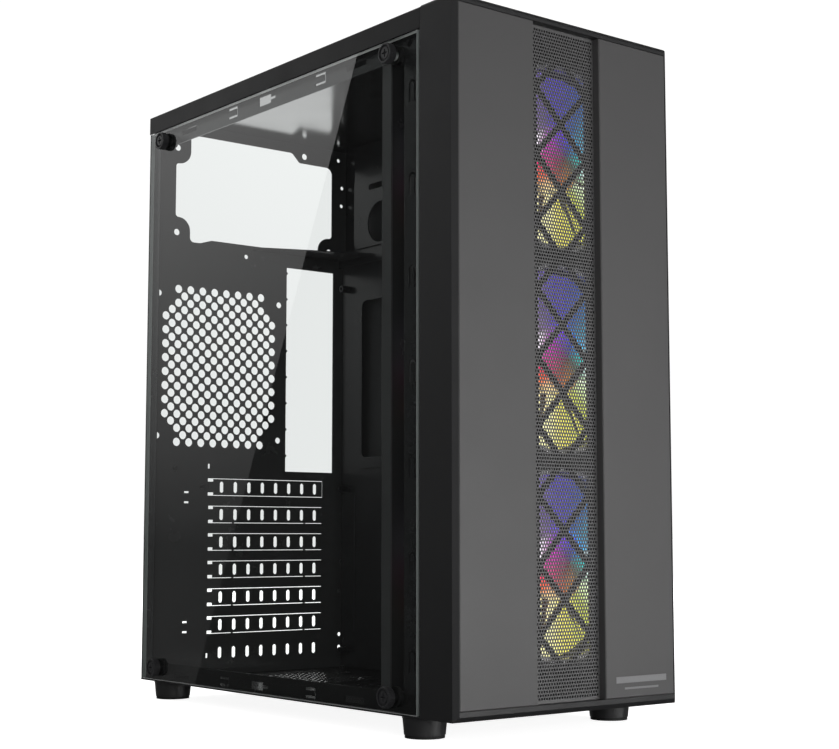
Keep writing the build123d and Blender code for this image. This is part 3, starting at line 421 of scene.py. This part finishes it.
MATERIALS = {
    "chassis_steel": chassis_steel_material(),
    "outer_steel": outer_steel_material(),
    "black_zinc_steel": surface("black_zinc_steel", (0.022, 0.022, 0.024), 0.34,
                                metallic=0.4, edge_wear_and_highlight=2.6),
    "thumb_screw_black": surface("thumb_screw_black", (0.03, 0.03, 0.032), 0.36,
                                 edge_wear_and_highlight=2.6, edge=0.25),
    "foot_plastic": surface("foot_plastic", (0.026, 0.026, 0.027), 0.4, grain=1200.0),
    "rubber": surface("rubber", (0.016, 0.016, 0.016), 0.7, grain=1600.0, specular=0.3),
    "glass": glass_material(),
    "shell_plastic": shell_material(),
    "plate_plastic": surface("plate_plastic", (0.068, 0.0665, 0.0675), 0.5, vary=0.04, grain=1500.0,
                             grain_depth=0.008, edge_wear_and_highlight=1.25),
    "print_grey": surface("print_grey", (0.20, 0.20, 0.205), 0.55, vary=0.05, edge_wear_and_highlight=1.05),
    "mesh_steel": surface("mesh_steel", (0.092, 0.091, 0.092), 0.45, vary=0.06, edge_wear_and_highlight=1.2, edge=0.1),
    "fan_plastic": surface("fan_plastic", (0.012, 0.012, 0.013), 0.5),
    "fan_stator": winding_material(),
    "light_diffuser": surface("light_diffuser", (0.75, 0.75, 0.78), 0.6, vary=0.05, edge_wear_and_highlight=1.05),
    "button_plastic": surface("button_plastic", (0.02, 0.02, 0.021), 0.16,
                              grain_depth=0.002, coat=0.3),
    "circuit_board": board_material(),
    "black_plastic": surface("black_plastic", (0.018, 0.018, 0.019), 0.42),
    "blue_plastic": surface("blue_plastic", (0.02, 0.09, 0.5), 0.4, edge_wear_and_highlight=1.2),
    "nickel_steel": surface("nickel_steel", (0.66, 0.65, 0.63), 0.24, metallic=1.0, edge_wear_and_highlight=1.1),
    "lamp": surface("lamp", (0.72, 0.78, 0.88), 0.2, vary=0.05, edge_wear_and_highlight=1.05, coat=0.4),
}


def wear_slots():
    """Gives each CAD node the material of its slot in the record."""
    for subpart in frame["record"]["subparts"]:
        node = nodes[subpart["node"]]
        slot = subpart["material_slot"]
        if slot == "fan_blade":
            low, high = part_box(subpart["node"])
            look = fan_light("fan_blade_" + subpart["node"], (low + high) / 2)
        else:
            look = MATERIALS[slot]
        node.data.materials.clear()
        node.data.materials.append(look.material)


# ---------------------------------------------------------------- perforated strip
HOLE_PITCH = 2.04 * MM
HOLE_RADIUS = 0.78 * MM
HOLE_SIDES = 12


def perforated_sheet(name, low, high):
    """A flat sheet in the X-Z plane with staggered round holes, as thick as the box is deep.

    Every hole has a hexagonal cell. A cell's face is split into one strip from each side of
    the hole to the cell's edge, and the cells at the border reach out to the sheet's edge."""
    across = int((high.x - low.x) / HOLE_PITCH)
    rows = int((high.z - low.z) / HOLE_PITCH) - 1
    middle_x = (low.x + high.x) / 2
    first_z = (low.z + high.z) / 2 - (rows - 1) / 2 * HOLE_PITCH
    half = HOLE_PITCH / 2
    near, far = 0.375 * HOLE_PITCH, 0.625 * HOLE_PITCH
    corners = [(half, -near), (half, near), (0, far), (-half, near), (-half, -near), (0, -far)]
    cell = []
    for index, corner in enumerate(corners):
        after = corners[(index + 1) % 6]
        cell.append(corner)
        cell.append(((corner[0] + after[0]) / 2, (corner[1] + after[1]) / 2))
    ring = []
    for x, z in cell:
        angle = math.atan2(z, x)
        ring.append((HOLE_RADIUS * math.cos(angle), HOLE_RADIUS * math.sin(angle)))
    slack = MM / 1000
    inner_left = middle_x - (across - 1) / 2 * HOLE_PITCH + slack
    inner_right = middle_x + (across - 1) / 2 * HOLE_PITCH - slack
    inner_bottom = first_z - near + slack
    inner_top = first_z + (rows - 1) * HOLE_PITCH + near - slack
    points, faces, shared = [], [], {}

    def edge_point(x, z):
        key = (round(x / (half / 4)), round(z / (HOLE_PITCH / 16)))
        if key not in shared:
            shared[key] = len(points)
            px = low.x if x <= inner_left else high.x if x >= inner_right else x
            pz = low.z if z <= inner_bottom else high.z if z >= inner_top else z
            points.append((px, high.y, pz))
        return shared[key]

    for row in range(rows):
        z = first_z + row * HOLE_PITCH
        count = across - row % 2
        for column in range(count):
            x = middle_x + (column - (count - 1) / 2) * HOLE_PITCH
            outer = [edge_point(x + cx, z + cz) for cx, cz in cell]
            base = len(points)
            points.extend((x + rx, high.y, z + rz) for rx, rz in ring)
            for index in range(HOLE_SIDES):
                after = (index + 1) % HOLE_SIDES
                faces.append((outer[index], outer[after], base + after, base + index))
    mesh = bpy.data.meshes.new(name)
    mesh.from_pydata(points, [], faces)
    mesh.update()
    sheet = bpy.data.objects.new(name, mesh)
    scene.collection.objects.link(sheet)
    thick = sheet.modifiers.new("thickness", "SOLIDIFY")
    thick.thickness = high.y - low.y
    thick.offset = 1.0
    return sheet


def add_strip():
    low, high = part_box("mesh_strip")
    strip = perforated_sheet("perforated_strip", low, high)
    strip.data.materials.append(MATERIALS["mesh_steel"].material)
    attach(strip, "front_panel")
    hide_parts("mesh_strip")


# ---------------------------------------------------------------- studio
CAMERA_PLACE = Vector((-0.65436, -0.85496, 0.11394))
CAMERA_AIM = Vector((0.61960, 0.77834, 0.10137))
CAMERA_LENS = 68.40


def add_camera():
    data = bpy.data.cameras.new("camera")
    data.sensor_width = 36.0
    data.lens = CAMERA_LENS
    data.clip_start = 0.01
    data.clip_end = 200.0
    camera = bpy.data.objects.new("camera", data)
    camera.location = CAMERA_PLACE
    camera.rotation_mode = "QUATERNION"
    camera.rotation_quaternion = CAMERA_AIM.to_track_quat("-Z", "Y")
    scene.collection.objects.link(camera)
    scene.camera = camera


def area_light(name, place, target, size, power):
    data = bpy.data.lights.new(name, "AREA")
    data.shape = "RECTANGLE"
    data.size, data.size_y = size
    data.energy = power
    light = bpy.data.objects.new(name, data)
    light.location = place
    light.rotation_mode = "QUATERNION"
    light.rotation_quaternion = (Vector(target) - Vector(place)).to_track_quat("-Z", "Y")
    light.visible_camera = False
    light.visible_transmission = False
    scene.collection.objects.link(light)


def seen_white(s):
    """1 for what the eye sees straight or through glass, 0 for light and reflections."""
    path = s.add("ShaderNodeLightPath")
    return s.math("MAXIMUM", path.outputs["Is Camera Ray"], path.outputs["Is Transmission Ray"])


# Strengths of the world: where the eye meets it, as light on the object, in reflections.
WORLD_SEEN = 1.05
WORLD_AMBIENT = 0.22
WORLD_GLOSSY = 0.03


def add_world():
    """White where it is seen, and a dim even light from all round."""
    world = bpy.data.worlds.new("studio")
    scene.world = world
    world.use_nodes = True
    tree = world.node_tree
    tree.nodes.clear()
    path = tree.nodes.new("ShaderNodeLightPath")
    seen = tree.nodes.new("ShaderNodeMath")
    seen.operation = "MAXIMUM"
    tree.links.new(path.outputs["Is Camera Ray"], seen.inputs[0])
    tree.links.new(path.outputs["Is Transmission Ray"], seen.inputs[1])
    glossy = tree.nodes.new("ShaderNodeMapRange")
    tree.links.new(path.outputs["Is Glossy Ray"], glossy.inputs["Value"])
    glossy.inputs["To Min"].default_value = WORLD_AMBIENT
    glossy.inputs["To Max"].default_value = WORLD_GLOSSY
    strength = tree.nodes.new("ShaderNodeMix")
    tree.links.new(seen.outputs[0], strength.inputs[0])
    tree.links.new(glossy.outputs[0], strength.inputs[2])
    strength.inputs[3].default_value = WORLD_SEEN
    light = tree.nodes.new("ShaderNodeBackground")
    light.inputs["Color"].default_value = (1.0, 1.0, 1.0, 1.0)
    tree.links.new(strength.outputs[0], light.inputs["Strength"])
    output = tree.nodes.new("ShaderNodeOutputWorld")
    tree.links.new(light.outputs[0], output.inputs["Surface"])


def flat_piece(name, corners):
    mesh = bpy.data.meshes.new(name)
    mesh.from_pydata(corners, [], [tuple(range(len(corners)))])
    mesh.update()
    piece = bpy.data.objects.new(name, mesh)
    scene.collection.objects.link(piece)
    return piece


def add_floor():
    """Pale floor: almost white to the eye, and a dim bounce for the object."""
    reach = 60.0
    corners = [(-reach, -reach, 0), (reach, -reach, 0), (reach, reach, 0), (-reach, reach, 0)]
    floor = flat_piece("floor", corners)
    s = Shader("floor")
    s.bsdf.inputs["Base Color"].default_value = (0.8, 0.8, 0.8, 1.0)
    s.set(Roughness=1.0, Specular_IOR_Level=0.0)
    s.bsdf.inputs["Emission Color"].default_value = (1.0, 1.0, 1.0, 1.0)
    s.link(s.math("MULTIPLY", seen_white(s), 0.9), s.bsdf.inputs["Emission Strength"])
    floor.data.materials.append(s.material)
    floor.visible_glossy = False


def add_backdrop():
    """White card behind the case. Its slanted left edge shows as the reflection in the glass."""
    y = 1.2
    corners = [(-0.74, y, -0.1), (2.6, y, -0.1), (2.6, y, 2.2), (-1.405, y, 2.2)]
    card = flat_piece("backdrop", corners)
    s = Shader("backdrop")
    s.tree.nodes.remove(s.bsdf)
    glow = s.add("ShaderNodeEmission")
    place = s.split(s.coords)
    rise = s.spread(place["Z"], 0.10, 0.92, 0.1, 0.9)
    right = s.spread(place["X"], 0.0, 1.0, -0.4, 0.2)
    strength = s.add("ShaderNodeMix")
    s.link(right, strength.inputs[0])
    s.link(rise, strength.inputs[2])
    strength.inputs[3].default_value = 1.5
    s.link(strength.outputs[0], glow.inputs["Strength"])
    s.link(glow.outputs[0], s.output.inputs["Surface"])
    card.data.materials.append(s.material)
    card.visible_camera = False
    card.visible_transmission = False
    card.visible_shadow = False


def add_lights():
    aim = (0.0, -0.17, 0.20)
    area_light("key", (0.9, -2.2, 0.16), aim, (1.6, 1.2), 28.5)
    area_light("low", (0.1, -0.62, 0.025), (0.05, -0.17, 0.04), (0.5, 0.03), 0.55)
    area_light("front_left", (-1.3, -2.05, 0.45), aim, (0.9, 0.7), 9.5)
    area_light("side", (-2.2, -0.6, 1.6), (0, 0, 0.2), (1.2, 1.2), 3.0)
    area_light("rear", (1.4, 2.2, 1.6), (0, 0, 0.2), (1.2, 1.2), 30.0)


wear_slots()
add_strip()
add_camera()
add_world()
add_floor()
add_backdrop()
add_lights()
scene.view_settings.view_transform = "Standard"
